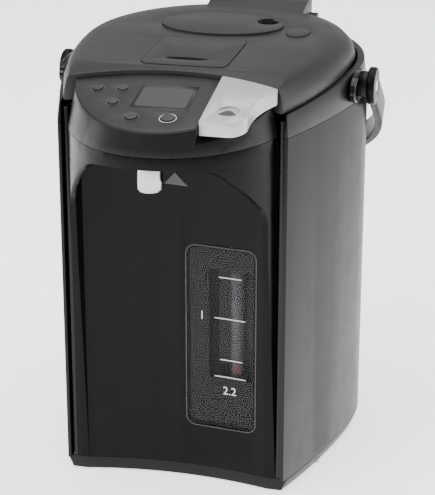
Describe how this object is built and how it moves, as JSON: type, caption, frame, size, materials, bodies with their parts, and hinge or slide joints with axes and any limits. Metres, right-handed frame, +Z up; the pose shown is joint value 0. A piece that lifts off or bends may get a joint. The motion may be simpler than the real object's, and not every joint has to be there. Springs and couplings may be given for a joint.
{
  "type": "electric thermo pot",
  "caption": "Electric hot water pot with a hinged lid, folding bail, pouring key, push buttons, level gauge and a spout under an overhanging head",
  "frame": {"origin": "middle of the foot pad on the table plane", "axes": "+Z up, -Y towards the user (the spout), +X to the user's right"},
  "size_m": [0.226, 0.3105, 0.3001],
  "materials": {
    "outer_shell": "satin",
    "base_pan": "satin",
    "base_screws": "brushed",
    "foot_pad": "soft",
    "groove_strip_right": "gloss",
    "groove_strip_left": "gloss",
    "front_panel": "gloss",
    "gauge_window": "gloss",
    "head_housing": "satin",
    "control_panel": "satin",
    "display_window": "gloss",
    "control_board": "laminate",
    "key_switch": "satin",
    "shoulder_ring": "satin",
    "handle_pins": "brushed",
    "upper_deck": "satin",
    "lid_hinge_pin": "brushed",
    "inner_vessel": "brushed",
    "vessel_jacket": "brushed",
    "heater_plate": "cast",
    "spout_nozzle": "brushed",
    "spout_flange": "satin",
    "delivery_pipe": "soft",
    "suction_pipe": "soft",
    "pump_housing": "satin",
    "pump_motor": "satin",
    "sight_tube": "clear",
    "level_stop": "satin",
    "power_board": "laminate",
    "power_inlet": "satin",
    "inlet_pins": "brushed",
    "lid_cover": "satin",
    "lid_underside": "satin",
    "lid_inner_plate": "brushed",
    "lid_seal": "soft",
    "steam_chamber": "satin",
    "release_flap": "satin",
    "lid_latch": "satin",
    "steam_cap": "satin",
    "cap_release": "satin",
    "carrying_handle": "gloss",
    "dispense_key": "silver",
    "level_float": "gloss",
    "pump_impeller": "satin",
    "button_saving": "satin",
    "button_timer": "satin",
    "button_keep_warm": "satin",
    "button_reboil": "satin",
    "button_unlock": "satin"
  },
  "bodies": {
    "pot": {"outer_shell": "outer_shell", "base_pan": "base_pan", "base_screws": "base_screws", "foot_pad": "foot_pad", "groove_strip_right": "groove_strip_right", "groove_strip_left": "groove_strip_left", "front_panel": "front_panel", "gauge_window": "gauge_window", "head_housing": "head_housing", "control_panel": "control_panel", "display_window": "display_window", "control_board": "control_board", "key_switch": "key_switch", "shoulder_ring": "shoulder_ring", "handle_pins": "handle_pins", "upper_deck": "upper_deck", "lid_hinge_pin": "lid_hinge_pin", "inner_vessel": "inner_vessel", "vessel_jacket": "vessel_jacket", "heater_plate": "heater_plate", "spout_nozzle": "spout_nozzle", "spout_flange": "spout_flange", "delivery_pipe": "delivery_pipe", "suction_pipe": "suction_pipe", "pump_housing": "pump_housing", "pump_motor": "pump_motor", "sight_tube": "sight_tube", "level_stop": "level_stop", "power_board": "power_board", "power_inlet": "power_inlet", "inlet_pins": "inlet_pins"},
    "lid": {"lid_cover": "lid_cover", "lid_underside": "lid_underside", "lid_inner_plate": "lid_inner_plate", "lid_seal": "lid_seal", "steam_chamber": "steam_chamber"},
    "flap": {"release_flap": "release_flap"},
    "latch": {"lid_latch": "lid_latch"},
    "cap": {"steam_cap": "steam_cap"},
    "cap_catch": {"cap_release": "cap_release"},
    "bail": {"carrying_handle": "carrying_handle"},
    "key": {"dispense_key": "dispense_key"},
    "gauge_float": {"level_float": "level_float"},
    "impeller": {"pump_impeller": "pump_impeller"},
    "button_saving_stem": {"button_saving": "button_saving"},
    "button_timer_stem": {"button_timer": "button_timer"},
    "button_keep_warm_stem": {"button_keep_warm": "button_keep_warm"},
    "button_reboil_stem": {"button_reboil": "button_reboil"},
    "button_unlock_stem": {"button_unlock": "button_unlock"}
  },
  "joints": [
    {"name": "lid_hinge", "type": "hinge", "parent": "pot", "child": "lid", "pos_m": [0.015, 0.102, 0.284], "axis": [-1, 0, 0], "range_deg": [0, 80]},
    {"name": "flap_hinge", "type": "hinge", "parent": "lid", "child": "flap", "pos_m": [0, -0.01008, 0.29153], "axis": [-1, 0, 0], "range_deg": [0, 30]},
    {"name": "latch_slide", "type": "slide", "parent": "lid", "child": "latch", "axis": [0, 0.9984, 0.0558], "range_m": [0, 0.003]},
    {"name": "cap_lift", "type": "slide", "parent": "lid", "child": "cap", "axis": [0, -0.0558, 0.9984], "range_m": [0, 0.03]},
    {"name": "catch_press", "type": "slide", "parent": "lid", "child": "cap_catch", "axis": [0, 0.0558, -0.9984], "range_m": [0, 0.0015], "stiffness_N_per_m": 300, "springref_m": -0.001},
    {"name": "bail_hinge", "type": "hinge", "parent": "pot", "child": "bail", "pos_m": [0, 0.02, 0.258], "axis": [1, 0, 0], "range_deg": [0, 126]},
    {"name": "key_press", "type": "hinge", "parent": "pot", "child": "key", "pos_m": [0.0505, -0.0882, 0.2805], "axis": [1, 0, 0], "range_deg": [0, 3], "stiffness_Nm_per_rad": 1, "springref_deg": -2.86},
    {"name": "float_slide", "type": "slide", "parent": "pot", "child": "gauge_float", "axis": [0, 0, 1], "range_m": [0, 0.108]},
    {"name": "impeller_spin", "type": "hinge", "parent": "pot", "child": "impeller", "pos_m": [0.022, -0.052, 0.034], "axis": [0, 0, 1], "continuous": true},
    {"name": "button_saving_press", "type": "slide", "parent": "pot", "child": "button_saving_stem", "axis": [0, 0.225, -0.9744], "range_m": [0, 0.0006], "stiffness_N_per_m": 300, "springref_m": -0.0005},
    {"name": "button_timer_press", "type": "slide", "parent": "pot", "child": "button_timer_stem", "axis": [0, 0.225, -0.9744], "range_m": [0, 0.0006], "stiffness_N_per_m": 300, "springref_m": -0.0005},
    {"name": "button_keep_warm_press", "type": "slide", "parent": "pot", "child": "button_keep_warm_stem", "axis": [0, 0.225, -0.9744], "range_m": [0, 0.0006], "stiffness_N_per_m": 300, "springref_m": -0.0005},
    {"name": "button_reboil_press", "type": "slide", "parent": "pot", "child": "button_reboil_stem", "axis": [0, 0.225, -0.9744], "range_m": [0, 0.0006], "stiffness_N_per_m": 300, "springref_m": -0.0005},
    {"name": "button_unlock_press", "type": "slide", "parent": "pot", "child": "button_unlock_stem", "axis": [0, 0.225, -0.9744], "range_m": [0, 0.0006], "stiffness_N_per_m": 300, "springref_m": -0.0005}
  ],
  "couplings": [
    {"joint": "latch_slide", "follows": "flap_hinge", "m_per_rad": 0.0057}
  ]
}
